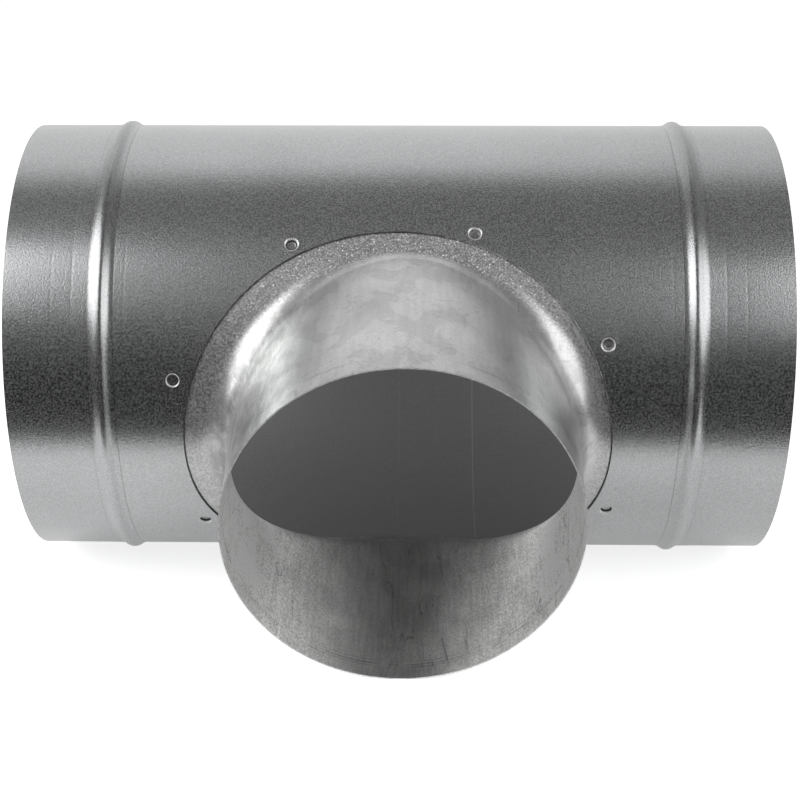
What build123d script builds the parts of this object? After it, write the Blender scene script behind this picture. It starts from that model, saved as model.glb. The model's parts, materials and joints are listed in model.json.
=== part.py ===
from build123d import *
import math
import os

# A reducing duct tee of galvanised sheet: a rolled main pipe with a stop bead near each end,
# and a pressed saddle that comes out of the pipe's oval opening and ends in the smaller spigot.
# It is first drawn with the run along X, the branch along -Y and the centre of the run at zero,
# and then laid down as it comes to rest, on its two beads and the lowest point of the branch rim.

# Main pipe
RUN_DIAMETER = 199.2  # outside, for a 200 duct
RUN_LENGTH = 336.0
PIPE_SHEET = 0.5

# Stop beads, rolled outwards
BEAD_SETBACK = 41.5  # end of the pipe to the bead's crest
BEAD_WIDTH = 11.0
BEAD_HEIGHT = 2.0
BEAD_CROWN_RADIUS = 3.0

# Lap seam along the back of the pipe, rolled down as it is welded
SEAM_WIDTH = 8.0
SEAM_RISE = 0.3
SEAM_ANGLE = 160.0  # degrees from the branch, over the top

# Branch saddle
BRANCH_DIAMETER = 149.2  # outside, for a 150 duct
BRANCH_REACH = 164.0  # run axis to branch rim
BRANCH_OFFSET = 3.0  # branch axis to the middle of the opening, along the run
SADDLE_SHEET = 0.6
NECK_FILLET = 14.0  # bend from flange to neck
NECK_DRAFT = 0.5  # degrees, from the run axis to the straight spigot
SPIGOT_SETBACK = 1.0  # highest point of the bend to the start of the spigot
LAP_CLEARANCE = 0.1  # between pipe and flange

# Opening in the pipe and the flange behind it, both measured on the unrolled sheet
OPENING_MARGIN_SIDE = 17.3  # neck to the opening's edge, along the run
OPENING_MARGIN_TOP = 11.1  # neck to the opening's edge, around the run
FLANGE_LAP = 22.0  # opening's edge to flange's edge

# Press joints that clinch the pipe to the flange, set by hand around the opening
CLINCH_TURNS = (27.5, 71, 117, 162.5, 209.5, 252, 295, 337.5)  # degrees, from the run's right over the top
CLINCH_SETBACK = 6.7  # opening's mean radius to the ring of joints
CLINCH_MOUTH_RADIUS = 3.25
CLINCH_THROAT_RADIUS = 2.6
CLINCH_FLOOR_RADIUS = 2.1
CLINCH_LIP = 0.5  # depth from the pipe's surface to the throat
CLINCH_DEPTH = 1.5  # depth to the floor

QUARTER_SPANS = 12  # spans of the spline along a quarter of an oval

run_radius = RUN_DIAMETER / 2
neck_radius = BRANCH_DIAMETER / 2
flange_radius = run_radius - PIPE_SHEET - LAP_CLEARANCE
bead_radius = run_radius + BEAD_HEIGHT
bead_place = RUN_LENGTH / 2 - BEAD_SETBACK
spigot_place = flange_radius + NECK_FILLET + SPIGOT_SETBACK

# A bead is a crown arc between two foot arcs that touch it and the pipe's wall
arc_sum = ((BEAD_WIDTH / 2) ** 2 + BEAD_HEIGHT**2) / (2 * BEAD_HEIGHT)
bead_foot_radius = arc_sum - BEAD_CROWN_RADIUS
bead_turn = math.degrees(math.asin(BEAD_WIDTH / 2 / arc_sum))

opening_half_length = neck_radius + OPENING_MARGIN_SIDE
opening_half_girth = run_radius * math.asin(neck_radius / run_radius) + OPENING_MARGIN_TOP
clinch_ring = (opening_half_length + opening_half_girth) / 2 + CLINCH_SETBACK


def bead_line(place, depth):
    """One bead on the surface that lies depth below the pipe's outside."""
    foot_height = run_radius + bead_foot_radius
    foot = bead_foot_radius + depth
    crown = BEAD_CROWN_RADIUS - depth
    return [
        CenterArc((place - BEAD_WIDTH / 2, foot_height), foot, -90, bead_turn),
        CenterArc((place, bead_radius - BEAD_CROWN_RADIUS), crown, 90 - bead_turn, 2 * bead_turn),
        CenterArc((place + BEAD_WIDTH / 2, foot_height), foot, 270 - bead_turn, bead_turn),
    ]


def wall_line(depth):
    """The pipe's profile line from end to end, depth below its outside."""
    height = run_radius - depth
    bead_edge = bead_place + BEAD_WIDTH / 2
    bead_inner_edge = bead_place - BEAD_WIDTH / 2
    return [
        Line((-RUN_LENGTH / 2, height), (-bead_edge, height)),
        *bead_line(-bead_place, depth),
        Line((-bead_inner_edge, height), (bead_inner_edge, height)),
        *bead_line(bead_place, depth),
        Line((bead_edge, height), (RUN_LENGTH / 2, height)),
    ]


def wall_profile(outer_depth, inner_depth):
    """The pipe's sheet in section, between two depths, ready to turn about the run axis."""
    ends = [
        Line((side * RUN_LENGTH / 2, run_radius - inner_depth), (side * RUN_LENGTH / 2, run_radius - outer_depth))
        for side in (-1, 1)
    ]
    return make_face(wall_line(outer_depth) + wall_line(inner_depth) + ends)


def on_unrolled_oval(half_length, half_girth, turn, radius):
    """A point at a turn around an oval drawn on the unrolled pipe, carried out or in to a radius."""
    angle = half_girth * math.sin(turn) / run_radius
    return (half_length * math.cos(turn), -radius * math.cos(angle), radius * math.sin(angle))


def ray_ring(half_length, half_girth, inner, outer):
    """The band of rays from the run axis through such an oval, between two radii, in quarters."""
    quarters = []
    for quarter in range(4):
        lines = []
        for radius in (inner, outer):
            points = []
            for k in range(QUARTER_SPANS + 1):
                turn = math.pi / 2 * (quarter + k / QUARTER_SPANS)
                points.append(on_unrolled_oval(half_length, half_girth, turn, radius))
            steps = [k / QUARTER_SPANS for k in range(QUARTER_SPANS + 1)]
            lines.append(Edge.make_spline(points, parameters=steps))
        quarters.append(Face.make_surface_from_curves(*lines))
    return Shell(quarters)


def part_along_oval(body, half_length, half_girth, outer_radius, sheet):
    """Parts a curved sheet square to itself along an oval, and sorts the pieces from the branch back."""
    ring = ray_ring(half_length, half_girth, outer_radius - 2 * sheet, outer_radius + sheet)
    return split(body, bisect_by=ring, keep=Keep.ALL).solids().sort_by(Axis.Y)


def clinch_places():
    """A plane at each press joint, on the pipe's outside, with its Z pointing out."""
    places = []
    for turn in CLINCH_TURNS:
        around = clinch_ring * math.sin(math.radians(turn))
        along = clinch_ring * math.cos(math.radians(turn))
        angle = around / run_radius
        outwards = Vector(0, -math.cos(angle), math.sin(angle))
        origin = outwards * run_radius + Vector(along, 0, 0)
        places.append(Plane(origin=origin, x_dir=(1, 0, 0), z_dir=outwards))
    return places


def clinch_cup(growth, top):
    """The space of a press joint's recess, grown by growth on its floor and walls, up to top."""
    reach = CLINCH_MOUTH_RADIUS + CLINCH_DEPTH
    rise = (reach - CLINCH_THROAT_RADIUS) * CLINCH_LIP / (CLINCH_MOUTH_RADIUS - CLINCH_THROAT_RADIUS)
    half = [
        (CLINCH_FLOOR_RADIUS, -CLINCH_DEPTH),
        (CLINCH_THROAT_RADIUS, -CLINCH_LIP),
        (reach, rise - CLINCH_LIP),
    ]
    other_half = [(-x, y) for x, y in reversed(half)]
    section = make_face(Polyline(*half, *other_half, close=True))
    if growth > 0:
        section = offset(section, growth, kind=Kind.INTERSECTION)
    depth = CLINCH_DEPTH + 2 * growth
    window = Pos(reach, (top - depth) / 2) * Rectangle(2 * reach, top + depth)
    return revolve(Plane.XZ * (section & window), Axis.Z)


def press_joints(body, growth, sheet):
    """Sinks every press joint into a sheet whose outside is growth below the pipe's outside."""
    button = clinch_cup(growth + sheet, -growth - sheet / 2)
    recess = clinch_cup(growth, CLINCH_LIP)
    body += [place * button for place in clinch_places()]
    body -= [place * recess for place in clinch_places()]
    return body


def along_run(radius):
    """A cylinder about the run axis, as long as the pipe."""
    return Cylinder(radius, RUN_LENGTH, rotation=(0, 90, 0))


def neck_width(neck, distance):
    """The neck's radius at a distance from the run axis, where neck is its radius at the spigot."""
    return neck + max(0, spigot_place - distance) * math.tan(math.radians(NECK_DRAFT))


def along_branch(neck):
    """The neck's round body about the branch axis, from the run axis to the branch rim."""
    root = neck_width(neck, 0)
    half = Polyline((0, 0), (root, 0), (neck, -spigot_place), (neck, -BRANCH_REACH), (0, -BRANCH_REACH), close=True)
    return Pos(BRANCH_OFFSET, 0, 0) * revolve(make_face(half), Axis.Y)


def lies_on_both(edge, run, neck):
    """Whether an edge runs where a cylinder about the run meets the neck's body."""
    for share in (0.1, 0.3, 0.5, 0.7, 0.9):
        point = edge @ share
        if abs(math.hypot(point.Y, point.Z) - run) > 0.01:
            return False
        if abs(math.hypot(point.X - BRANCH_OFFSET, point.Z) - neck_width(neck, -point.Y)) > 0.01:
            return False
    return True


def tee_body(run, neck, fillet_radius):
    """A solid tee with a fillet where the neck leaves the run."""
    body = along_run(run) + along_branch(neck)
    crotch = [edge for edge in body.edges() if lies_on_both(edge, run, neck)]
    return fillet(crotch, fillet_radius)


def main_pipe():
    """The rolled pipe with beads, seam, opening and press joints."""
    body = revolve(wall_profile(0, PIPE_SHEET), Axis.X)
    seam_sweep = math.degrees(SEAM_WIDTH / run_radius)
    seam = revolve(wall_profile(-SEAM_RISE, PIPE_SHEET / 2), Axis.X, seam_sweep)
    body += Rot(X=180 - SEAM_ANGLE - seam_sweep / 2) * seam
    body = part_along_oval(body, opening_half_length, opening_half_girth, run_radius, PIPE_SHEET)[-1]
    return press_joints(body, 0, PIPE_SHEET)


def branch_saddle():
    """The pressed flange that lines the pipe behind the opening, and the neck drawn out of it."""
    outside = tee_body(flange_radius, neck_radius, NECK_FILLET)
    inside = tee_body(flange_radius - SADDLE_SHEET, neck_radius - SADDLE_SHEET, NECK_FILLET + SADDLE_SHEET)
    half_length = opening_half_length + FLANGE_LAP
    half_girth = opening_half_girth + FLANGE_LAP
    body = part_along_oval(outside - inside, half_length, half_girth, flange_radius, SADDLE_SHEET)[0]
    return press_joints(body, PIPE_SHEET + LAP_CLEARANCE, SADDLE_SHEET)


def rest_place():
    """Lays the tee on its beads and branch rim, with zero under the middle of its footprint."""
    rim_distance = math.hypot(BRANCH_REACH, neck_radius)
    dip = math.asin(bead_radius / rim_distance) - math.atan2(neck_radius, BRANCH_REACH)
    front = BRANCH_REACH * math.cos(dip) + neck_radius * math.sin(dip)
    return Pos(0, (front - bead_radius) / 2, bead_radius) * Rot(X=math.degrees(dip))


def save(body, node):
    """Writes one piece, laid down, as its own file."""
    laid = rest_place() * body
    laid.label = node
    export_step(laid, f"parts/{node}.step")


os.makedirs("parts", exist_ok=True)
save(main_pipe(), "main_pipe")
save(branch_saddle(), "branch_saddle")
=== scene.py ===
import json
import math

import bmesh
import bpy
from mathutils import Matrix, Quaternion, Vector
from mathutils.geometry import delaunay_2d_cdt


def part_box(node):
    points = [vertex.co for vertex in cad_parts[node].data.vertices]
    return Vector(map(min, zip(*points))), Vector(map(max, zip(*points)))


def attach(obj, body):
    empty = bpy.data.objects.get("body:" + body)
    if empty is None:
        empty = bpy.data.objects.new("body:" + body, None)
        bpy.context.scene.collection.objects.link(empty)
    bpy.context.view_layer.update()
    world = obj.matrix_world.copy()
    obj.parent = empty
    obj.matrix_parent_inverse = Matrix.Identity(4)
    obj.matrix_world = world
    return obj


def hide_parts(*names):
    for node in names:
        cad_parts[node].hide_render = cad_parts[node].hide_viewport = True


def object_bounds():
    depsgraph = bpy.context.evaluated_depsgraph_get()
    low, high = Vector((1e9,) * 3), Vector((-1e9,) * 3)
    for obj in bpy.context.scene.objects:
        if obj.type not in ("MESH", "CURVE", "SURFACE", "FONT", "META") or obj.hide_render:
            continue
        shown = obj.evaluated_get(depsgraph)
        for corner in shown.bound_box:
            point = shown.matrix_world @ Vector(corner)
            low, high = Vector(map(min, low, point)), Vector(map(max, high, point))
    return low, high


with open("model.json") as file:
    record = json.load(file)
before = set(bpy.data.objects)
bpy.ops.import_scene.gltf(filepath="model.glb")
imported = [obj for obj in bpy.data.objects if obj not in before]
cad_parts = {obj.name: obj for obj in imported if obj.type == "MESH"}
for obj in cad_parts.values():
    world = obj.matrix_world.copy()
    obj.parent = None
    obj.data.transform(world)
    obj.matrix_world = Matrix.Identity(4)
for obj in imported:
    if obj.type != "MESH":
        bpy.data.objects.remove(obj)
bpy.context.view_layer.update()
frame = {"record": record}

# The tee's main sizes, in millimetres, and the way it lies, all read from the frame
mounts = {mount["name"]: mount for mount in frame["record"]["mounts"]}
run_ends = [Vector(mounts[name]["pos_m"]) for name in ("run_left", "run_right")]
run_centre = (run_ends[0] + run_ends[1]) / 2
pipe_low, pipe_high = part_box("main_pipe")
branch_axis = Vector(mounts["branch"]["axis"])
branch_place = Vector(mounts["branch"]["pos_m"]) - run_centre

RUN_RADIUS = mounts["run_right"]["dims"]["r_mm"]
RUN_LENGTH = (pipe_high.x - pipe_low.x) * 1000
NECK_RADIUS = mounts["branch"]["dims"]["r_mm"]
SPIGOT_LENGTH = mounts["branch"]["dims"]["length_mm"]
BRANCH_OFFSET = branch_place.x * 1000
BRANCH_REACH = branch_place.dot(branch_axis) * 1000 + SPIGOT_LENGTH / 2
DIP = math.asin(-branch_axis.z)

# Millimetres with the run along X and the branch along -Y become metres in the frame
LAY = Matrix.Translation(run_centre) @ Matrix.Rotation(DIP, 4, "X") @ Matrix.Scale(0.001, 4)

# Pipe
PIPE_SHEET = 0.5
BEAD_PLACE = RUN_LENGTH / 2 - 41.5
BEAD_WIDTH = 11.0
BEAD_HEIGHT = 2.0
BEAD_CROWN_RADIUS = 3.0
ROLLER_MARKS = (12.4, 21.0, -10.0)  # from a bead's crest, outwards
ROLLER_MARK_WIDTH = 1.6
ROLLER_MARK_DEPTH = 0.02
FOOT_GROOVE_WIDTH = 0.8  # at a bead's inner foot
FOOT_GROOVE_DEPTH = 0.02
COLLAR_RISE = 0.1  # the wall's lean from its first mark up to a bead's outer foot
SEAM_WIDTH = 8.0
SEAM_ANGLE = math.radians(160)  # from the branch, over the top
SEAM_RISE = 0.3
SEAM_RAMP = 2.5

# Saddle
SADDLE_SHEET = 0.6
NECK_FILLET = 15.0  # at the crown
FILLET_LEAN = 1.0  # wider on the left, narrower on the right
FILLET_SWELL = 1.0  # wider again at the upper right
NECK_DRAFT = math.radians(0.5)
LAP_CLEARANCE = 0.1
FLANGE_LAP = 22.0
FLANGE_RADIUS = RUN_RADIUS - PIPE_SHEET - LAP_CLEARANCE
SPIGOT_PLACE = BRANCH_REACH - SPIGOT_LENGTH

# The oval opening on the unrolled pipe, with its edge painted dark as the gap's shadow, and the flange's own
# oval
OPENING_HALF_LENGTH = NECK_RADIUS + 17.3
OPENING_HALF_GIRTH = RUN_RADIUS * math.asin(NECK_RADIUS / RUN_RADIUS) + 11.1
OPENING_EDGE = 0.5
OPENING = (OPENING_HALF_LENGTH, OPENING_HALF_GIRTH)
EDGE_RING = (OPENING_HALF_LENGTH + OPENING_EDGE, OPENING_HALF_GIRTH + OPENING_EDGE)
FLANGE = (OPENING_HALF_LENGTH + FLANGE_LAP, OPENING_HALF_GIRTH + FLANGE_LAP)

# The trimmed rim isn't quite round: it stands tall and leans a little, and the root is true
RIM_OVAL = 1.19
RIM_LEAN = math.radians(71)
FORMING_LINE_SETBACK = 9.0
FORMING_LINE_WIDTH = 1.0
FORMING_LINE_STEP = 0.12

# Press joints: places, section as (distance from the middle, depth), and the rings and spokes of the mesh
CLINCH_RING = (OPENING_HALF_LENGTH + OPENING_HALF_GIRTH) / 2 + 6.7
CLINCH_TURNS = [math.radians(turn) for turn in (27.5, 71, 117, 162.5, 209.5, 252, 295, 337.5)]
CLINCH_PLACES = [(CLINCH_RING * math.cos(turn), CLINCH_RING * math.sin(turn)) for turn in CLINCH_TURNS]
CLINCH_LINE = (
    (0, 1.5), (1.7, 1.5), (2.1, 1.38), (2.3, 1.0), (2.5, 0.55),
    (2.75, 0.2), (3.1, -0.05), (3.5, -0.06), (4.1, 0),
)
CLINCH_RINGS = (
    0.6, 1.2, 1.7, 1.95, 2.1, 2.2, 2.3, 2.4, 2.5, 2.62, 2.75, 2.92, 3.1, 3.3, 3.5, 3.8, 4.1, 4.7,
)
CLINCH_SPOKES = 24
CLINCH_ZONE = 5.4  # kept free of the sheet's own mesh points
# Press joints' faces, as distances from the middle: painted shade in the throat, a painted highlight on the
# lip
THROAT_INNER = 1.8
THROAT_OUTER = 2.5
LIP_OUTER = 3.0

# Material places on a sheet's outer skin. Its cut rims and inside lie further on, up to the last place
PLAIN = 0
# The cut edges' material, also a painted highlight on press joints' lips
PAINTED_HIGHLIGHT = 1
# Painted shade along the opening's edge and in press joints' throats
PAINTED_SHADE = 3
RIM_SHIFT = 1
INSIDE_SHIFT = 2

# Mesh spacing
TURN_STEPS = 156
OVAL_STEPS = 192
BEAD_STEPS = 16
MARK_STEPS = (-1.5, -1, -0.5, 0, 0.5, 1, 1.5)  # in half widths of a mark
GROOVE_STEPS = (-2.2, -1.4, -1, -0.5, 0.5)  # in half widths of the groove
FOOT_STEPS = (0.4, 1.0)  # past a bead's outer foot
SEAM_STEPS = 8
COARSE_STEP = 7.0
OPENING_MARGIN = 1.6  # about the opening, kept free of the pipe's mesh points
FLANGE_SHARES = (0.06, 0.14, 0.24, 0.34, 0.44, 0.54, 0.64, 0.74, 0.84, 0.93)  # from the bend to the edge
FILLET_STEPS = 16
FILLET_ROUNDS = 4  # repeats that settle where the bend touches the neck
NECK_STEPS = 6  # from the bend to the first of the setbacks
NECK_SETBACKS = (  # from the rim
    44, 40, 35, 30, 25, 20, 15, 12, 10, 9.5, 9.0, 8.5, 8.0, 6.5, 5.0, 3.0, 1.5, 0.6, 0,
)
MERGE_DISTANCE = 1e-3
OUTLINE_PRECISION = 1e-5
SHARP_ANGLE = math.radians(38)

# Zinc patterns, in cells a metre. Bounds say between which of a noise's values a pattern goes from 0 to 1
GRAIN_SCALE = 1450.0
GRAIN_BOUNDS = (0.34, 0.66)
GRAIN_HEIGHT = 0.00006
SPANGLE_BOUNDS = (0.36, 0.64)
SPANGLE_HEIGHT = 0.00003
PAINTED_GLINT_DULLING = 0.35  # how much less metallic a painted glint is
WRINKLES = ((0.5, 0.22), (0.56, 0.16), (0.44, 0.14))  # noise value along each outline, strength

# Lines in the zinc, place in metres, strength. The lines at the beads' feet are painted shade in their
# creases
BEAD_FOOT_SHADE_LINES = (
    ((BEAD_PLACE - BEAD_WIDTH / 2) / 1000, 0.3),
    ((BEAD_PLACE + BEAD_WIDTH / 2) / 1000, 0.12),
)
SCRATCHES = ((0.0370, 0.6), (0.0186, 0.05), (-0.0020, 0.16))  # along the run
FORMING_LINES = ((0.0088, 0.42), (0.0072, 0.24), (0.0108, 0.2))  # from the branch rim

# Where the looks change, in metres: along an axis from the run's centre, or out from the run's axis
BEAD_TOP = (0.03, 0.08)
FLANGE_TO_NECK = (0.0992, 0.1012)
BEYOND_BEND = (0.103, 0.108)
FLANGE_TOP_LIGHT = (0.03, 0.07)
NECK_LEFT = (-0.03, -0.055)
NECK_FLANK_LIGHT = (-0.03, -0.045)
INNER_FLANKS = (0.012, 0.045)
INNER_LIGHT_TO_SHADE = (-0.034, -0.071)
EDGE_SHADOW_FADE = (0.0, 0.04)

# The studio as metal reflects it. Turns go from the front to the right, heights up, both in degrees
DOME_RADIUS = 3.0
DOME_STEP = 3
DOME_FOOT = -3
BACKDROP_SIDE = 105
BACKDROP_SIDE_BLUR = 45
BACKDROP_TOP = 73
BACKDROP_TOP_BLUR = 10
BACKDROP_FADE = 0.35  # towards the right
BACKDROP_FADE_WIDTH = 40
CEILING_FOOT = -5
CEILING_BLUR = 45
FRONT_LEVEL = 0.02
CEILING_LEVEL = 0.15

# Floor and the unlit flags on it, in metres
WHITE = (1, 1, 1, 1)
FLOOR_COLOUR = (0.8, 0.8, 0.8, 1)
FLOOR_HALF = 12.0
FLOOR_GLOW = 0.7
FLOOR_GLOW_IN_METAL = 0.38
FLAG_LIFT = 0.001
FLAG_FRONT = -0.16
FLAG_BACK = 0.4
FLAG_LEFT = -0.32
FLAG_RIGHT = 0.47
AMBIENT = 0.35

# Soft boxes: turn to the right of the front, height and roll in degrees, size in metres, brightness
SOFT_BOX_DISTANCE = 1.2
SOFT_BOXES = (
    ("left_soft_box", -69, 32, 30, (1.5, 0.73), 3.2),
    ("right_soft_box", 60, 26, -28, (1.4, 0.75), 2.2),
)

# The photograph's camera: picture, focal length and image centre in pixels, place in metres, turn in degrees
PICTURE_SIZE = 800
FOCAL_PIXELS = 1703.2
IMAGE_CENTRE = (390.35, 434.36)
CAMERA_PLACE = (0.01143, -0.74071, 0.36432)
CAMERA_TURN = (68.016, 0.139, 1.167)
SENSOR_WIDTH = 36.0
NEAREST_SEEN = 0.01


def between(low, high, steps):
    """Evenly spaced numbers from low to high, both included."""
    return [low + (high - low) * k / steps for k in range(steps + 1)]


def ease(share):
    """A smooth step from 0 to 1."""
    share = min(1.0, max(0.0, share))
    return share * share * (3 - 2 * share)


def follow(line, place):
    """The smooth height at a place along a line of (place, height) points."""
    for (a, low), (b, high) in zip(line, line[1:]):
        if place <= b:
            return low + (high - low) * ease((place - a) / (b - a))
    return line[-1][1]


def bead_rise(place):
    """How far a bead stands out of the wall: a crown arc between two foot arcs."""
    away = abs(place)
    if away >= BEAD_WIDTH / 2:
        return 0.0
    arc_sum = ((BEAD_WIDTH / 2) ** 2 + BEAD_HEIGHT**2) / (2 * BEAD_HEIGHT)
    foot = arc_sum - BEAD_CROWN_RADIUS
    crown_half = BEAD_CROWN_RADIUS * BEAD_WIDTH / 2 / arc_sum
    if away <= crown_half:
        return BEAD_HEIGHT - BEAD_CROWN_RADIUS + math.sqrt(BEAD_CROWN_RADIUS**2 - away**2)
    return foot - math.sqrt(foot**2 - (BEAD_WIDTH / 2 - away) ** 2)


def wall_rise(x):
    """The pipe's profile along the run, above its plain wall."""
    place = abs(x) - BEAD_PLACE
    foot = BEAD_WIDTH / 2
    marks = sum(ease(1 - abs(place - mark) / (ROLLER_MARK_WIDTH / 2)) for mark in ROLLER_MARKS)
    groove = ease(1 - abs(place + foot) / (FOOT_GROOVE_WIDTH / 2))
    lean = min(1.0, (ROLLER_MARKS[0] - place) / (ROLLER_MARKS[0] - foot)) * min(1.0, place / foot)
    collar = COLLAR_RISE * max(0.0, lean)
    return bead_rise(place) + collar - ROLLER_MARK_DEPTH * marks - FOOT_GROOVE_DEPTH * groove


def oval_point(oval, turn):
    """A point at a turn around an oval on the unrolled pipe."""
    half_length, half_girth = oval
    return (half_length * math.cos(turn), half_girth * math.sin(turn))


def inside_oval(point, oval):
    """Whether a point of the unrolled pipe lies inside an oval."""
    half_length, half_girth = oval
    return (point[0] / half_length) ** 2 + (point[1] / half_girth) ** 2 < 1


def round_turns():
    """The turns at which every oval has its mesh points."""
    return [math.tau * k / OVAL_STEPS for k in range(OVAL_STEPS)]


def clinch_distance(point):
    """How far a point of an unrolled sheet lies from the nearest press joint."""
    return min(math.dist(point, place) for place in CLINCH_PLACES)


def clinch_depth(point, growth):
    """How deep the nearest press joint sinks a point of the unrolled sheet."""
    return follow(CLINCH_LINE, max(0.0, clinch_distance(point) - growth))


def clinch_points():
    """Rings of mesh points about every press joint."""
    points = []
    for centre in CLINCH_PLACES:
        points.append(centre)
        for ring, radius in enumerate(CLINCH_RINGS):
            for k in range(CLINCH_SPOKES):
                turn = math.tau * (k + ring % 2 / 2) / CLINCH_SPOKES
                points.append((centre[0] + radius * math.cos(turn), centre[1] + radius * math.sin(turn)))
    return points


def face_finish(point):
    """Which material a face of the pipe shows: plain, painted shade along the opening's edge, or a press
    joint's lip with a painted highlight or throat with painted shade.
    """
    if inside_oval(point, EDGE_RING):
        return PAINTED_SHADE
    away = clinch_distance(point)
    if THROAT_INNER < away < THROAT_OUTER:
        return PAINTED_SHADE
    if THROAT_OUTER < away < LIP_OUTER:
        return PAINTED_HIGHLIGHT
    return PLAIN


def middle_of(corners, triangle):
    """The middle of a triangle of the unrolled sheet."""
    return sum((Vector(corners[k]) for k in triangle), Vector((0, 0))) / 3


def triangulate(points, loops, keep):
    """Joins the points of an unrolled sheet into triangles that keep to its loops."""
    flat = [Vector(point) for point in points]
    edges = []
    for loop in loops:
        start = len(flat)
        flat += [Vector(point) for point in loop]
        edges += [(start + k, start + (k + 1) % len(loop)) for k in range(len(loop))]
    found = delaunay_2d_cdt(flat, edges, [], 0, OUTLINE_PRECISION)
    corners = found[0]
    return corners, [tuple(triangle) for triangle in found[2] if keep(middle_of(corners, triangle))]


def rolled(x, around, radius):
    """A point of the unrolled pipe, rolled up to a radius."""
    angle = around / RUN_RADIUS
    return Vector((x, -radius * math.cos(angle), radius * math.sin(angle)))


def sheet_object(name, mesh_parts, thickness, materials):
    """One piece of sheet metal from its outer skin, thickened inwards, with sharp cut edges.

    The materials are the outside's, the cut edges', which also paint the highlight on press joints' lips, the
    inside's, and the painted shade's along the opening's edge and in press joints' throats.
    """
    bm = bmesh.new()
    for corners, faces, finishes in mesh_parts:
        made = [bm.verts.new(corner) for corner in corners]
        for face, finish in zip(faces, finishes):
            laid = bm.faces.new([made[k] for k in face])
            laid.material_index = finish
    bmesh.ops.remove_doubles(bm, verts=bm.verts, dist=MERGE_DISTANCE)
    loose = [vert for vert in bm.verts if not vert.link_faces]
    bmesh.ops.delete(bm, geom=loose, context="VERTS")
    bmesh.ops.recalc_face_normals(bm, faces=bm.faces)
    skin = bpy.data.meshes.new(name + "_skin")
    bm.to_mesh(skin)
    bm.free()
    for material in materials:
        skin.materials.append(material)
    piece = bpy.data.objects.new(name, skin)
    bpy.context.scene.collection.objects.link(piece)
    solidify = piece.modifiers.new("thickness", "SOLIDIFY")
    solidify.thickness = thickness
    solidify.offset = -1
    solidify.use_rim = True
    solidify.material_offset = INSIDE_SHIFT
    solidify.material_offset_rim = RIM_SHIFT
    evaluated = piece.evaluated_get(bpy.context.evaluated_depsgraph_get())
    solid = bpy.data.meshes.new_from_object(evaluated)
    piece.modifiers.clear()
    piece.data = solid
    bpy.data.meshes.remove(skin)
    solid.name = name
    solid.transform(LAY)
    solid.shade_smooth()
    solid.set_sharp_from_angle(angle=SHARP_ANGLE)
    return piece


def run_lines():
    """Where the pipe's mesh has its rounds along the run: close at beads and marks, and coarse between."""
    lines = set()
    for side in (-1, 1):
        fine = between(-BEAD_WIDTH / 2, BEAD_WIDTH / 2, BEAD_STEPS)
        fine += [mark + ROLLER_MARK_WIDTH / 2 * step for mark in ROLLER_MARKS for step in MARK_STEPS]
        fine += [(FOOT_GROOVE_WIDTH * step - BEAD_WIDTH) / 2 for step in GROOVE_STEPS]
        fine += [BEAD_WIDTH / 2 + step for step in FOOT_STEPS]
        lines |= {round(side * (BEAD_PLACE + step), 4) for step in fine}
    lines |= {-RUN_LENGTH / 2, RUN_LENGTH / 2}
    known = sorted(lines)
    for low, high in zip(known, known[1:]):
        steps = max(1, math.ceil((high - low) / COARSE_STEP))
        lines |= set(between(low, high, steps)[1:-1])
    return sorted(lines)


def pipe_skin():
    """The outer skin of the rolled pipe, from one side of its lap seam round to the other."""
    start = RUN_RADIUS * (SEAM_ANGLE - math.tau) - SEAM_WIDTH / 2
    end = RUN_RADIUS * SEAM_ANGLE + SEAM_WIDTH / 2
    half = RUN_LENGTH / 2
    lap = SEAM_WIDTH + SEAM_RAMP
    lines = run_lines()
    rounds = between(start + lap, end - lap, TURN_STEPS)
    rounds += between(start, start + lap, SEAM_STEPS)[:-1] + between(end - lap, end, SEAM_STEPS)[1:]
    near_opening = (OPENING_HALF_LENGTH + OPENING_MARGIN, OPENING_HALF_GIRTH + OPENING_MARGIN)
    grid = []
    for x in lines:
        for around in rounds:
            within = -half < x < half and start < around < end
            clear = not inside_oval((x, around), near_opening)
            if within and clear and clinch_distance((x, around)) > CLINCH_ZONE:
                grid.append((x, around))
    across = sorted(rounds)[1:-1]
    border = [(x, start) for x in lines] + [(half, around) for around in across]
    border += [(x, end) for x in reversed(lines)] + [(-half, around) for around in reversed(across)]
    ovals = [[oval_point(oval, turn) for turn in round_turns()] for oval in (OPENING, EDGE_RING)]
    corners, triangles = triangulate(
        grid + clinch_points(),
        [border, *ovals],
        lambda point: not inside_oval(point, OPENING),
    )
    made = []
    for x, around in corners:
        over = SEAM_RISE * ease((around - end + lap) / SEAM_RAMP)
        under = (PIPE_SHEET - SEAM_RISE) * ease((start + lap - around) / SEAM_RAMP)
        rise = wall_rise(x) + over - under - clinch_depth((x, around), 0)
        made.append(rolled(x, around, RUN_RADIUS + rise))
    return made, triangles, [face_finish(middle_of(corners, triangle)) for triangle in triangles]


def neck_width(distance):
    """The neck's outside radius at a distance from the run axis."""
    return NECK_RADIUS + max(0.0, SPIGOT_PLACE - distance) * math.tan(NECK_DRAFT)


def neck_point(radius, distance, turn):
    """A point about the branch axis, at a distance from the run axis."""
    return Vector((BRANCH_OFFSET + radius * math.cos(turn), -distance, radius * math.sin(turn)))


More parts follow.
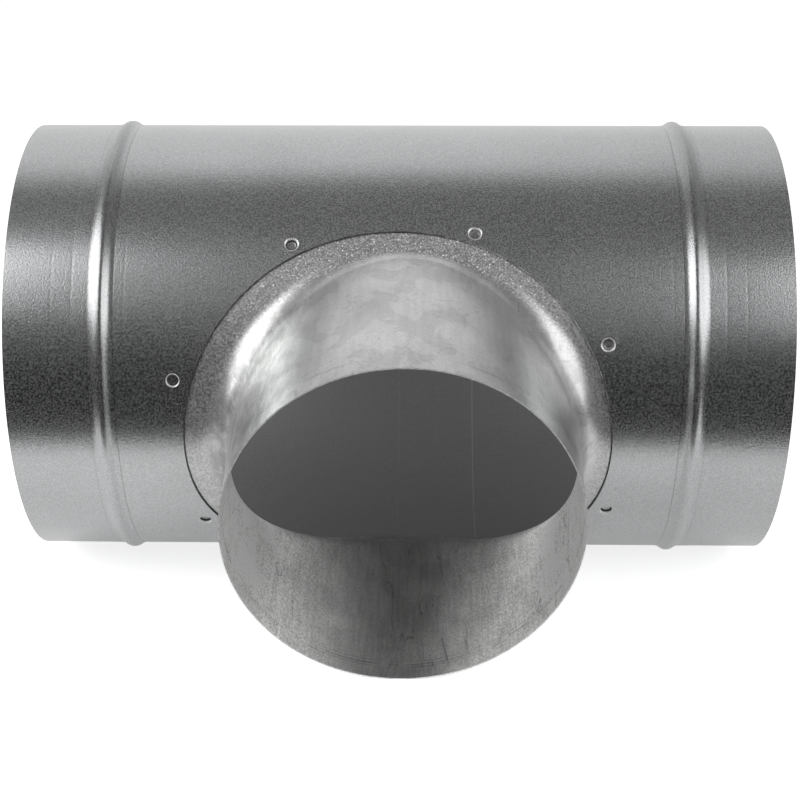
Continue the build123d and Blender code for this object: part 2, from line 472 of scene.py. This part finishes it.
def fillet_arc(turn):
    """The ball that rolls round the neck's root: its centre and its touching points on neck and flange."""
    ball = NECK_FILLET - FILLET_LEAN * math.cos(turn)
    if 0 < turn < math.pi / 2:
        ball += FILLET_SWELL * math.sin(2 * turn) ** 2
    distance = SPIGOT_PLACE
    for _ in range(FILLET_ROUNDS):
        reach = neck_width(distance) + ball
        distance = math.sqrt((FLANGE_RADIUS + ball) ** 2 - (reach * math.sin(turn)) ** 2)
    centre = neck_point(reach, distance, turn)
    on_neck = neck_point(neck_width(distance), distance, turn)
    fall = FLANGE_RADIUS / (FLANGE_RADIUS + ball)
    on_flange = Vector((centre.x, centre.y * fall, centre.z * fall))
    return centre, on_neck, on_flange


def in_polygon(point, polygon):
    """Whether a point lies inside a closed polygon."""
    x, y = point
    inside = False
    for (ax, ay), (bx, by) in zip(polygon, polygon[1:] + polygon[:1]):
        if (ay > y) != (by > y) and x < (bx - ax) * (y - ay) / (by - ay) + ax:
            inside = not inside
    return inside


def flange_skin(arcs):
    """The flange's outer skin, from the bend to the flange's edge."""
    root = [(p.x, RUN_RADIUS * math.atan2(p.z, -p.y)) for _, _, p in arcs]
    flange_edge = []
    for x, around in root:
        turn = math.atan2(around / OPENING_HALF_GIRTH, x / OPENING_HALF_LENGTH)
        flange_edge.append(oval_point(FLANGE, turn))
    grid = []
    for share in FLANGE_SHARES:
        for a, b in zip(root, flange_edge):
            point = (a[0] + (b[0] - a[0]) * share, a[1] + (b[1] - a[1]) * share)
            if clinch_distance(point) > CLINCH_ZONE:
                grid.append(point)
    corners, triangles = triangulate(
        grid + clinch_points(),
        [root, flange_edge],
        lambda point: not in_polygon(point, root),
    )
    growth = PIPE_SHEET + LAP_CLEARANCE
    made = [rolled(*corner, FLANGE_RADIUS - clinch_depth(corner, growth)) for corner in corners]
    return made, triangles, [PLAIN] * len(triangles)


def neck_skin(arcs):
    """The outer skin of bend and neck, as rings of points from the flange out to the rim."""
    corners = []
    for turn, (centre, on_neck, on_flange) in zip(round_turns(), arcs):
        start, end = on_flange - centre, on_neck - centre
        sweep = start.angle(end)
        for share in between(0, 1, FILLET_STEPS):
            spoke = (start * math.sin((1 - share) * sweep) + end * math.sin(share * sweep)) / math.sin(sweep)
            corners.append(centre + spoke)
        near = -on_neck.y
        places = between(near, BRANCH_REACH - NECK_SETBACKS[0], NECK_STEPS)[1:-1]
        places += [BRANCH_REACH - setback for setback in NECK_SETBACKS]
        for place in places:
            grown = ease((place - near) / (BRANCH_REACH - near))
            past_line = place - BRANCH_REACH + FORMING_LINE_SETBACK + FORMING_LINE_WIDTH / 2
            radius = neck_width(place) + grown * RIM_OVAL * math.cos(2 * (turn - RIM_LEAN))
            radius += FORMING_LINE_STEP * ease(past_line / FORMING_LINE_WIDTH)
            corners.append(neck_point(radius, place, turn))
    rings = len(corners) // len(arcs)
    faces = []
    for k in range(len(arcs)):
        here, there = k * rings, (k + 1) % len(arcs) * rings
        for ring in range(rings - 1):
            faces.append((here + ring, here + ring + 1, there + ring + 1, there + ring))
    return corners, faces, [PLAIN] * len(faces)


def connect(tree, socket, value):
    """Gives an input a number or another node's output."""
    if isinstance(value, bpy.types.NodeSocket):
        tree.links.new(value, socket)
    else:
        socket.default_value = value


def add_node(tree, kind, **inputs):
    """A new node with its named inputs given."""
    node = tree.nodes.new(kind)
    for name, value in inputs.items():
        connect(tree, node.inputs[name.replace("_", " ")], value)
    return node


def add_math(tree, operation, *values, kind="ShaderNodeMath"):
    """A new node that calculates with numbers, or another kind of node that does it with vectors."""
    node = tree.nodes.new(kind)
    node.operation = operation
    for socket, value in zip(node.inputs, values):
        connect(tree, socket, value)
    return node


class Finish:
    """A sheet's material: patterns laid in the tee's own directions, and one shader that shows them."""

    def __init__(self, name):
        self.material = bpy.data.materials.new(name)
        self.material.use_nodes = True
        self.tree = self.material.node_tree
        self.shader = self.tree.nodes["Principled BSDF"]
        self.object_place = add_node(self.tree, "ShaderNodeTexCoord").outputs["Object"]
        self.shade = 1.0

    def math(self, operation, *values):
        """The result of one calculation."""
        return add_math(self.tree, operation, *values).outputs[0]

    def both(self, first, second):
        """A mask that is 1 only where two masks are."""
        return self.math("MULTIPLY", first, second)

    def without(self, mask):
        """A mask turned round."""
        return self.math("SUBTRACT", 1.0, mask)

    def ramp(self, value, low, high, to_low=0.0, to_high=1.0):
        """A smooth change from one value to another."""
        ends = {"From_Min": low, "From_Max": high, "To_Min": to_low, "To_Max": to_high}
        made = add_node(self.tree, "ShaderNodeMapRange", Value=value, **ends)
        made.interpolation_type = "SMOOTHSTEP"
        return made.outputs["Result"]

    def fade(self, pattern, start, end):
        """From one value to another as a pattern goes from 0 to 1."""
        return self.ramp(pattern, 0.0, 1.0, start, end)

    def line(self, value, centre, half_width):
        """1 where a value passes its centre, and 0 half a width to each side."""
        away = self.math("ABSOLUTE", self.math("SUBTRACT", value, centre))
        return self.without(self.ramp(away, 0.0, half_width))

    def place(self, stretch=(1, 1, 1)):
        """Metres from the run's centre, X along the run and -Y along the branch, divided by a stretch."""
        made = add_node(
            self.tree,
            "ShaderNodeMapping",
            Vector=self.object_place,
            Location=run_centre,
            Rotation=(DIP, 0, 0),
            Scale=stretch,
        )
        made.vector_type = "TEXTURE"
        return made.outputs["Vector"]

    def along(self, axis):
        """How far a point lies along X, Y or Z from the run's centre, in metres."""
        return add_node(self.tree, "ShaderNodeSeparateXYZ", Vector=self.place()).outputs[axis]

    def from_run(self):
        """A point's distance from the run's axis, in metres."""
        kind = "ShaderNodeVectorMath"
        across = add_math(self.tree, "MULTIPLY", self.place(), (0, 1, 1), kind=kind)
        return add_math(self.tree, "LENGTH", across.outputs["Vector"], kind=kind).outputs["Value"]

    def zone(self, axis, bounds):
        """A mask that grows from 0 to 1 between two places along an axis."""
        return self.ramp(self.along(axis), *bounds)

    def noise(self, scale, stretch=(1, 1, 1), detail=2.0, warp=0.0):
        """A cloudy pattern of values about a half."""
        settings = {"Vector": self.place(stretch), "Scale": scale, "Detail": detail, "Distortion": warp}
        return add_node(self.tree, "ShaderNodeTexNoise", **settings).outputs["Fac"]

    def pattern(self, scale, bounds, **settings):
        """A cloudy pattern that reaches 0 and 1 at its bounds."""
        return self.ramp(self.noise(scale, **settings), *bounds)

    def shade_by(self, pattern, swing, share=1.0):
        """Darkens and lightens by a pattern that goes from 0 to 1, all over or where share is 1."""
        centred = self.math("MULTIPLY_ADD", pattern, 2 * swing, -swing)
        self.shade = self.math("MULTIPLY", self.shade, self.math("MULTIPLY_ADD", centred, share, 1.0))

    def darken(self, mask, amount):
        """Takes a share of the light away where a mask is 1."""
        self.shade = self.math("MULTIPLY", self.shade, self.math("MULTIPLY_ADD", mask, -amount, 1.0))

    def lighten(self, mask, amount):
        """Adds a share to the light where a mask is 1."""
        self.darken(mask, -amount)

    def finish(self, colour, roughness, metallic, relief=None, depth=0.0):
        """Connects the patterns to the shader. The depth of the relief is in metres."""
        tint = add_math(self.tree, "SCALE", colour, kind="ShaderNodeVectorMath")
        connect(self.tree, tint.inputs["Scale"], self.shade)
        connect(self.tree, self.shader.inputs["Base Color"], tint.outputs["Vector"])
        connect(self.tree, self.shader.inputs["Roughness"], roughness)
        connect(self.tree, self.shader.inputs["Metallic"], metallic)
        if relief:
            bump = add_node(self.tree, "ShaderNodeBump", Strength=1.0, Distance=depth, Height=relief)
            connect(self.tree, self.shader.inputs["Normal"], bump.outputs["Normal"])
        return self.material


def outer_pipe_zinc():
    """The pipe's outside: bright rolled zinc with a fine even grain, painted shade in the creases at the
    beads' feet, and darker along the beads' upper part.
    """
    zinc = Finish("pipe_zinc")
    grain = zinc.noise(scale=GRAIN_SCALE, detail=1.0)
    speckle = zinc.ramp(grain, *GRAIN_BOUNDS)
    zinc.shade_by(speckle, swing=0.11)
    zinc.shade_by(zinc.pattern(scale=22.0, bounds=(0.3, 0.7), detail=4.0), swing=0.03)
    from_middle = zinc.math("ABSOLUTE", zinc.along("X"))
    # Painted shade in the creases at the beads' feet
    for place, strength in BEAD_FOOT_SHADE_LINES:
        zinc.darken(zinc.line(from_middle, place, half_width=0.0005), strength)
    # Darker along the upper part of each bead
    bead = zinc.line(from_middle, BEAD_PLACE / 1000, half_width=0.007)
    zinc.darken(zinc.both(bead, zinc.zone("Z", BEAD_TOP)), amount=0.22)
    return zinc.finish(
        colour=(0.45, 0.455, 0.46),
        roughness=0.285,
        metallic=zinc.fade(speckle, 1.0, 0.86),
        relief=grain,
        depth=GRAIN_HEIGHT,
    )


def inner_pipe_zinc():
    """The pipe's inside: the same sheet with a darker colour as painted shade, and a few scratches that run
    round it.
    """
    zinc = Finish("pipe_inside_zinc_painted_shade")
    zinc.shade_by(zinc.pattern(scale=GRAIN_SCALE * 0.8, bounds=GRAIN_BOUNDS, detail=1.0), swing=0.05)
    broken = zinc.pattern(scale=30.0, bounds=(0.4, 0.5))
    x = zinc.along("X")
    for place, strength in SCRATCHES:
        zinc.lighten(zinc.both(zinc.line(x, place, half_width=0.0004), broken), strength)
    # The colour, darker than the outside's, is painted shade
    return zinc.finish(colour=(0.325, 0.325, 0.33), roughness=0.45, metallic=0.7)


def outer_saddle_zinc():
    """The saddle's outside: a spangled flange, and a drawn neck with soft patches and faint outlines."""
    zinc = Finish("saddle_zinc")
    neck = zinc.ramp(zinc.from_run(), *FLANGE_TO_NECK)
    flange = zinc.without(neck)

    # The flange: spangle, dark flecks, and painted glints and painted light at its top
    spangle = zinc.pattern(scale=1150.0, bounds=SPANGLE_BOUNDS, detail=3.0)
    zinc.shade_by(spangle, swing=0.19, share=flange)
    flecks = zinc.pattern(scale=420.0, bounds=(0.6, 0.68), detail=3.0, warp=0.5)
    zinc.darken(zinc.both(flecks, flange), amount=0.2)
    # Painted light and painted glints at the flange's top
    flange_top_light = zinc.both(flange, zinc.zone("Z", FLANGE_TOP_LIGHT))
    painted_glint = zinc.both(zinc.pattern(scale=1300.0, bounds=(0.66, 0.74), detail=0.0), flange_top_light)
    zinc.lighten(painted_glint, amount=0.6)
    zinc.lighten(flange_top_light, amount=0.15)

    # The neck: grain, flakes on its left, painted light on its left flank, patches, outlines of wrinkles and
    # drawing streaks
    grain = zinc.noise(scale=GRAIN_SCALE, detail=1.0)
    zinc.shade_by(zinc.ramp(grain, *GRAIN_BOUNDS), swing=0.06, share=neck)
    flakes = zinc.pattern(scale=190.0, bounds=(0.44, 0.6), stretch=(1.0, 2.5, 1.0), detail=3.0, warp=0.6)
    zinc.shade_by(flakes, swing=0.13, share=zinc.both(zinc.zone("X", NECK_LEFT), neck))
    # Painted light on the neck's left flank, beyond the bend
    beyond_bend = zinc.ramp(zinc.from_run(), *BEYOND_BEND)
    zinc.lighten(zinc.both(zinc.zone("X", NECK_FLANK_LIGHT), beyond_bend), amount=0.5)
    patches = zinc.pattern(scale=55.0, bounds=(0.46, 0.51), stretch=(1.0, 1.2, 1.0), detail=5.0, warp=0.5)
    zinc.shade_by(patches, swing=0.07, share=neck)
    zinc.shade_by(zinc.pattern(scale=24.0, bounds=(0.35, 0.65)), swing=0.1, share=neck)
    wrinkles = zinc.noise(scale=32.0, stretch=(1.0, 0.7, 1.0), detail=5.0, warp=0.8)
    for level, strength in WRINKLES:
        zinc.darken(zinc.both(zinc.line(wrinkles, level, half_width=0.007), neck), strength)
    drawn = zinc.pattern(scale=420.0, bounds=(0.35, 0.65), stretch=(1.0, 8.0, 1.0))
    zinc.shade_by(drawn, swing=0.035, share=neck)

    # The painted glints are also less metallic
    painted_glint_dulled = zinc.math("MULTIPLY", painted_glint, PAINTED_GLINT_DULLING)
    metallic = zinc.math("SUBTRACT", zinc.fade(spangle, 0.79, 0.64), painted_glint_dulled)
    return zinc.finish(
        colour=(0.48, 0.485, 0.48),
        roughness=0.29,
        metallic=metallic,
        relief=grain,
        depth=GRAIN_HEIGHT * 0.5,
    )


def inner_saddle_zinc():
    """The neck's inside: zinc dulled and mottled by drawing, with painted shade along its middle and low
    down, painted light higher up, streaks along it and lines near its rim.
    """
    zinc = Finish("saddle_inside_zinc")
    spangle = zinc.pattern(scale=1200.0, bounds=SPANGLE_BOUNDS, stretch=(1.0, 1.6, 1.0))
    from_middle = zinc.math("ABSOLUTE", zinc.along("X"))
    zinc.shade_by(spangle, swing=0.17, share=zinc.ramp(from_middle, *INNER_FLANKS, to_low=0.4))
    # Painted shade along the middle of the neck's inside
    zinc.darken(zinc.without(zinc.ramp(from_middle, *INNER_FLANKS)), amount=0.17)
    # Painted light high on the neck's inside, and painted shade low down
    zinc.shade_by(zinc.zone("Z", INNER_LIGHT_TO_SHADE), swing=-0.32)
    blotches = zinc.pattern(scale=60.0, bounds=(0.38, 0.62), stretch=(1.0, 1.3, 1.0), detail=5.0, warp=0.8)
    zinc.shade_by(blotches, swing=0.08)
    drawn = zinc.pattern(scale=520.0, bounds=SPANGLE_BOUNDS, stretch=(1.0, 12.0, 1.0), detail=3.0)
    zinc.shade_by(drawn, swing=0.07)
    cloud = zinc.noise(scale=40.0, stretch=(1.0, 5.0, 1.0), detail=3.0, warp=1.0)
    stains = zinc.line(cloud, centre=0.5, half_width=0.008)
    zinc.darken(zinc.both(stains, zinc.pattern(scale=17.0, bounds=(0.5, 0.6))), amount=0.4)
    reach = zinc.math("MULTIPLY", zinc.along("Y"), -1.0)
    worn = zinc.pattern(scale=60.0, bounds=(0.4, 0.55), stretch=(1.0, 0.3, 1.0))
    for setback, strength in FORMING_LINES:
        ring = zinc.line(reach, BRANCH_REACH / 1000 - setback, half_width=0.0006)
        zinc.darken(zinc.both(ring, worn), strength)

    # Drawing marks along the branch spread the highlights around the neck
    axis = add_node(zinc.tree, "ShaderNodeCombineXYZ", X=branch_axis.x, Y=branch_axis.y, Z=branch_axis.z)
    connect(zinc.tree, zinc.shader.inputs["Tangent"], axis.outputs["Vector"])
    zinc.shader.inputs["Anisotropic"].default_value = 0.92
    return zinc.finish(
        # A colour much lighter than the outside's, as painted light
        colour=(0.8, 0.8, 0.79),
        roughness=0.5,
        metallic=zinc.fade(spangle, 0.93, 0.83),
        relief=spangle,
        depth=SPANGLE_HEIGHT,
    )


def cut_edge_zinc():
    """The sheets' cut edges: bright, with the shear's fine marks. On press joints' lips its brightness is a
    painted highlight.
    """
    zinc = Finish("cut_edge_and_lip_highlight")
    zinc.shade_by(zinc.pattern(scale=500.0, bounds=(0.35, 0.65)), swing=0.15)
    return zinc.finish(colour=(0.72, 0.72, 0.72), roughness=0.4, metallic=0.5)


def painted_opening_shadow():
    """The pipe's edge about its opening, painted dark as the shadow of the gap behind it, and painted lighter
    at the upper right.
    """
    edge = Finish("painted_opening_shadow")
    edge.shade_by(edge.pattern(scale=300.0, bounds=(0.35, 0.65)), swing=0.4)
    # The painted shadow fades at the upper right
    edge.lighten(edge.both(edge.zone("X", EDGE_SHADOW_FADE), edge.zone("Z", EDGE_SHADOW_FADE)), amount=3.0)
    return edge.finish(colour=(0.05, 0.05, 0.052), roughness=0.6, metallic=0.3)


def bare_material(name):
    """A material with nothing but its output."""
    material = bpy.data.materials.new(name)
    material.use_nodes = True
    tree = material.node_tree
    tree.nodes.remove(tree.nodes["Principled BSDF"])
    return material, tree, tree.nodes["Material Output"].inputs["Surface"]


def glow(name, strength):
    """A surface that gives off an even white light."""
    material, tree, surface = bare_material(name)
    connect(tree, surface, add_node(tree, "ShaderNodeEmission", Color=WHITE, Strength=strength).outputs[0])
    return material


def floor_material():
    """A pale floor that keeps soft shadows, and glows enough to be white to the camera."""
    material, tree, surface = bare_material("pale_floor")
    path = add_node(tree, "ShaderNodeLightPath").outputs
    strength = add_math(tree, "MULTIPLY", path["Is Camera Ray"], FLOOR_GLOW).outputs[0]
    for ray in ("Is Glossy Ray", "Is Transmission Ray"):
        strength = add_math(tree, "MULTIPLY_ADD", path[ray], FLOOR_GLOW_IN_METAL, strength).outputs[0]
    matt = add_node(tree, "ShaderNodeBsdfDiffuse", Color=FLOOR_COLOUR)
    lit = add_node(tree, "ShaderNodeEmission", Color=WHITE, Strength=strength)
    added = tree.nodes.new("ShaderNodeAddShader")
    for socket, shader in zip(added.inputs, (matt, lit)):
        connect(tree, socket, shader.outputs[0])
    connect(tree, surface, added.outputs[0])
    return material


def set_world():
    """White where the camera, metal or glass sees it, and a plain soft light elsewhere."""
    world = bpy.data.worlds.new("studio")
    bpy.context.scene.world = world
    world.use_nodes = True
    tree = world.node_tree
    path = add_node(tree, "ShaderNodeLightPath").outputs
    seen = path["Is Camera Ray"]
    for ray in ("Is Glossy Ray", "Is Transmission Ray"):
        seen = add_math(tree, "MAXIMUM", seen, path[ray]).outputs[0]
    strength = add_node(tree, "ShaderNodeMapRange", Value=seen, To_Min=AMBIENT, To_Max=1.0)
    background = tree.nodes["Background"]
    background.inputs["Color"].default_value = WHITE
    connect(tree, background.inputs["Strength"], strength.outputs["Result"])


def stage_piece(name, corners, faces, material):
    """A piece of the stage, which is no part of the tee."""
    mesh = bpy.data.meshes.new(name)
    mesh.from_pydata(corners, [], faces)
    mesh.materials.append(material)
    piece = bpy.data.objects.new(name, mesh)
    bpy.context.scene.collection.objects.link(piece)
    return piece


def flat_panel(name, left, right, front, back, height, material):
    """A level panel of the stage."""
    corners = [(left, front, height), (right, front, height), (right, back, height), (left, back, height)]
    return stage_piece(name, corners, [(0, 1, 2, 3)], material)


def only_in_reflections(piece):
    """Keeps a part of the studio out of the picture, so that it is only seen in the metal."""
    piece.visible_camera = False
    piece.visible_diffuse = False
    piece.visible_shadow = False
    piece.visible_transmission = False
    piece.visible_volume_scatter = False


def direction(turn, height):
    """The way out from the tee at a turn to the right of the front and a height, in degrees."""
    side, up = math.radians(turn), math.radians(height)
    return Vector((math.sin(side) * math.cos(up), -math.cos(side) * math.cos(up), math.sin(up)))


def studio_level(turn, height):
    """How bright the studio is in one direction from the tee, where the white backdrop is 1."""
    behind = ease((abs(turn) - BACKDROP_SIDE) / BACKDROP_SIDE_BLUR)
    behind *= ease((BACKDROP_TOP - height) / BACKDROP_TOP_BLUR)
    if turn > 0:
        behind *= 1 - BACKDROP_FADE * ease((180 - turn) / BACKDROP_FADE_WIDTH)
    upwards = ease((height - CEILING_FOOT) / CEILING_BLUR)
    front = FRONT_LEVEL + (CEILING_LEVEL - FRONT_LEVEL) * upwards
    return front + (1 - front) * behind


def studio_dome():
    """The studio about the tee as metal reflects it: a backdrop behind, a dim ceiling and a dark front."""
    turns = range(-180, 181, DOME_STEP)
    heights = range(DOME_FOOT, 91, DOME_STEP)
    corners = [run_centre + DOME_RADIUS * direction(turn, height) for turn in turns for height in heights]
    levels = [studio_level(turn, height) for turn in turns for height in heights]
    rows = len(heights)
    faces = []
    for column in range(len(turns) - 1):
        for row in range(rows - 1):
            k = column * rows + row
            faces.append((k, k + rows, k + rows + 1, k + 1))
    material = glow("studio_dome", 1.0)
    tree = material.node_tree
    level = tree.nodes.new("ShaderNodeAttribute")
    level.attribute_name = "level"
    connect(tree, tree.nodes["Emission"].inputs["Strength"], level.outputs["Fac"])
    dome = stage_piece("studio_dome", corners, faces, material)
    dome.data.attributes.new("level", "FLOAT", "POINT").data.foreach_set("value", levels)
    only_in_reflections(dome)


def set_stage():
    """Floor, studio dome, and the dark flags that lie on the floor about the tee."""
    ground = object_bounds()[0].z
    flat_panel("floor", -FLOOR_HALF, FLOOR_HALF, -FLOOR_HALF, FLOOR_HALF, ground, floor_material())
    studio_dome()
    unlit = glow("unlit_floor", FRONT_LEVEL)
    for name, left, right, front, back in (
        ("front_flag", -DOME_RADIUS, DOME_RADIUS, -DOME_RADIUS, FLAG_FRONT),
        ("left_flag", -DOME_RADIUS, FLAG_LEFT, FLAG_FRONT, FLAG_BACK),
        ("right_flag", FLAG_RIGHT, DOME_RADIUS, FLAG_FRONT, FLAG_BACK),
    ):
        only_in_reflections(flat_panel(name, left, right, front, back, ground + FLAG_LIFT, unlit))


def set_lights():
    """The soft boxes, aimed at the tee."""
    for name, turn, height, roll, size, brightness in SOFT_BOXES:
        out = direction(turn, height)
        light = bpy.data.lights.new(name, "AREA")
        light.shape = "RECTANGLE"
        light.size, light.size_y = size
        light.energy = brightness * math.pi * size[0] * size[1]
        lamp = bpy.data.objects.new(name, light)
        bpy.context.scene.collection.objects.link(lamp)
        lamp.location = run_centre + SOFT_BOX_DISTANCE * out
        lamp.rotation_mode = "QUATERNION"
        lamp.rotation_quaternion = (-out).to_track_quat("-Z", "Y") @ Quaternion((0, 0, 1), math.radians(roll))
        lamp.visible_camera = False


def set_camera():
    """The photograph's camera."""
    lens = bpy.data.cameras.new("camera")
    lens.sensor_width = SENSOR_WIDTH
    lens.lens = SENSOR_WIDTH * FOCAL_PIXELS / PICTURE_SIZE
    lens.shift_x = 0.5 - IMAGE_CENTRE[0] / PICTURE_SIZE
    lens.shift_y = IMAGE_CENTRE[1] / PICTURE_SIZE - 0.5
    lens.clip_start = NEAREST_SEEN
    camera = bpy.data.objects.new("camera", lens)
    bpy.context.scene.collection.objects.link(camera)
    camera.location = CAMERA_PLACE
    camera.rotation_euler = [math.radians(angle) for angle in CAMERA_TURN]
    bpy.context.scene.camera = camera


cut_edge_and_lip_highlight = cut_edge_zinc()
pipe_materials = (outer_pipe_zinc(), cut_edge_and_lip_highlight, inner_pipe_zinc(), painted_opening_shadow())
saddle_materials = (outer_saddle_zinc(), cut_edge_and_lip_highlight, inner_saddle_zinc())

pipe = sheet_object("pipe_sheet", [pipe_skin()], PIPE_SHEET, pipe_materials)
bends = [fillet_arc(turn) for turn in round_turns()]
saddle = sheet_object("saddle_sheet", [flange_skin(bends), neck_skin(bends)], SADDLE_SHEET, saddle_materials)
for piece, node, slot in ((pipe, "main_pipe", "pipe_zinc"), (saddle, "branch_saddle", "saddle_zinc")):
    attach(piece, "root")
    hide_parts(node)

set_world()
set_stage()
set_lights()
set_camera()
bpy.context.scene.view_settings.view_transform = "Standard"
